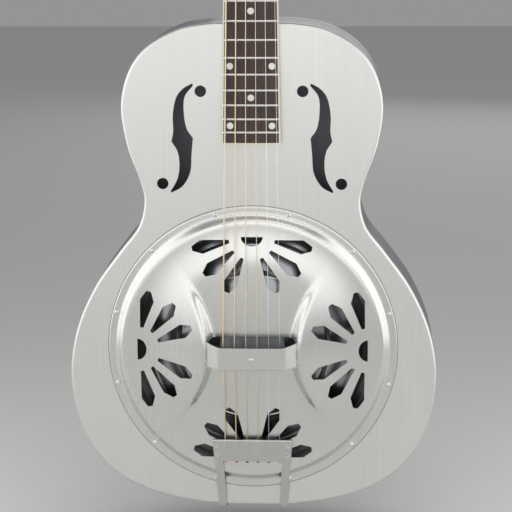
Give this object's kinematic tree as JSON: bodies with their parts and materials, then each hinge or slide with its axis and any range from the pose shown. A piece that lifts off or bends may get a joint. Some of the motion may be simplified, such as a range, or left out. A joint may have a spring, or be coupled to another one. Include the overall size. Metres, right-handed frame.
{
  "type": "resonator guitar",
  "caption": "Metal-bodied resonator guitar with f-holes, a domed cover plate with petal rosettes and hand rest, a strap tailpiece and geared tuners.",
  "frame": {"origin": "behind the nut at the neck's back, where a wall hanger's two arms carry the headstock", "axes": "+Z from the tail towards the headstock, parallel to the body's front; +Y from the front to the back; +X to the treble side"},
  "size_m": [0.3622, 0.1189, 0.9976],
  "materials": {
    "brushed_nickel": "nickel plated, brushed along the body, satin",
    "spun_aluminium": "spun, with fine rings",
    "polished_steel": "nickel plated and polished",
    "mahogany": "dark stain under semi-gloss lacquer",
    "rosewood": "oiled, open grain",
    "maple": "bare, fine grain",
    "ebony": "stained dark, satin",
    "black_gloss": "polished",
    "cream_plastic": "aged cream, semi-gloss",
    "phosphor_bronze": "wound wire"
  },
  "bodies": {
    "root": {"body_top": "brushed_nickel", "body_sides": "brushed_nickel", "body_back": "brushed_nickel", "sound_well": "brushed_nickel", "neck_stick": "maple", "tail_block": "maple", "cone": "spun_aluminium", "biscuit": "ebony", "biscuit_screw": "polished_steel", "saddle": "ebony", "cover_plate": "brushed_nickel", "hand_rest_screw": "polished_steel", "cover_screw_1": "polished_steel", "cover_screw_2": "polished_steel", "cover_screw_3": "polished_steel", "cover_screw_4": "polished_steel", "cover_screw_5": "polished_steel", "cover_screw_6": "polished_steel", "cover_screw_7": "polished_steel", "cover_screw_8": "polished_steel", "cover_screw_9": "polished_steel", "cover_screw_10": "polished_steel", "cover_screw_11": "polished_steel", "cover_screw_12": "polished_steel", "tailpiece_hood": "brushed_nickel", "tailpiece_frame": "brushed_nickel", "strap_button": "polished_steel", "neck": "mahogany", "fingerboard": "rosewood", "fingerboard_binding": "cream_plastic", "nut": "cream_plastic", "headstock_overlay": "black_gloss", "truss_rod": "polished_steel", "truss_rod_cover": "cream_plastic", "string_1": "polished_steel", "string_2": "polished_steel", "string_3": "phosphor_bronze", "string_4": "phosphor_bronze", "string_5": "phosphor_bronze", "string_6": "phosphor_bronze", "tuner_plate_1": "polished_steel", "tuner_plate_2": "polished_steel", "tuner_plate_3": "polished_steel", "tuner_plate_4": "polished_steel", "tuner_plate_5": "polished_steel", "tuner_plate_6": "polished_steel"},
    "knob_1": {"tuner_knob_1": "polished_steel"},
    "knob_2": {"tuner_knob_2": "polished_steel"},
    "knob_3": {"tuner_knob_3": "polished_steel"},
    "knob_4": {"tuner_knob_4": "polished_steel"},
    "knob_5": {"tuner_knob_5": "polished_steel"},
    "knob_6": {"tuner_knob_6": "polished_steel"},
    "post_1": {"tuner_post_1": "polished_steel"},
    "post_2": {"tuner_post_2": "polished_steel"},
    "post_3": {"tuner_post_3": "polished_steel"},
    "post_4": {"tuner_post_4": "polished_steel"},
    "post_5": {"tuner_post_5": "polished_steel"},
    "post_6": {"tuner_post_6": "polished_steel"}
  },
  "joints": [
    {"name": "knob_1_turn", "type": "hinge", "parent": "root", "child": "knob_1", "pos_m": [0.02, 0.01417, 0.03547], "axis": [1, 0, 0], "continuous": true},
    {"name": "post_1_turn", "type": "hinge", "parent": "root", "child": "post_1", "pos_m": [0.02, -0.00769, 0.03394], "axis": [0, 0.9578, -0.2874], "continuous": true},
    {"name": "knob_2_turn", "type": "hinge", "parent": "root", "child": "knob_2", "pos_m": [0.02, 0.02567, 0.07378], "axis": [1, 0, 0], "continuous": true},
    {"name": "post_2_turn", "type": "hinge", "parent": "root", "child": "post_2", "pos_m": [0.02, 0.0038, 0.07225], "axis": [0, 0.9578, -0.2874], "continuous": true},
    {"name": "knob_3_turn", "type": "hinge", "parent": "root", "child": "knob_3", "pos_m": [0.02, 0.03716, 0.1121], "axis": [1, 0, 0], "continuous": true},
    {"name": "post_3_turn", "type": "hinge", "parent": "root", "child": "post_3", "pos_m": [0.02, 0.0153, 0.11056], "axis": [0, 0.9578, -0.2874], "continuous": true},
    {"name": "knob_4_turn", "type": "hinge", "parent": "root", "child": "knob_4", "pos_m": [-0.02, 0.03716, 0.1121], "axis": [1, 0, 0], "continuous": true},
    {"name": "post_4_turn", "type": "hinge", "parent": "root", "child": "post_4", "pos_m": [-0.02, 0.0153, 0.11056], "axis": [0, 0.9578, -0.2874], "continuous": true},
    {"name": "knob_5_turn", "type": "hinge", "parent": "root", "child": "knob_5", "pos_m": [-0.02, 0.02567, 0.07378], "axis": [1, 0, 0], "continuous": true},
    {"name": "post_5_turn", "type": "hinge", "parent": "root", "child": "post_5", "pos_m": [-0.02, 0.0038, 0.07225], "axis": [0, 0.9578, -0.2874], "continuous": true},
    {"name": "knob_6_turn", "type": "hinge", "parent": "root", "child": "knob_6", "pos_m": [-0.02, 0.01417, 0.03547], "axis": [1, 0, 0], "continuous": true},
    {"name": "post_6_turn", "type": "hinge", "parent": "root", "child": "post_6", "pos_m": [-0.02, -0.00769, 0.03394], "axis": [0, 0.9578, -0.2874], "continuous": true}
  ],
  "couplings": [
    {"joint": "post_1_turn", "follows": "knob_1_turn", "ratio": -0.055556},
    {"joint": "post_2_turn", "follows": "knob_2_turn", "ratio": -0.055556},
    {"joint": "post_3_turn", "follows": "knob_3_turn", "ratio": -0.055556},
    {"joint": "post_4_turn", "follows": "knob_4_turn", "ratio": -0.055556},
    {"joint": "post_5_turn", "follows": "knob_5_turn", "ratio": -0.055556},
    {"joint": "post_6_turn", "follows": "knob_6_turn", "ratio": -0.055556}
  ]
}
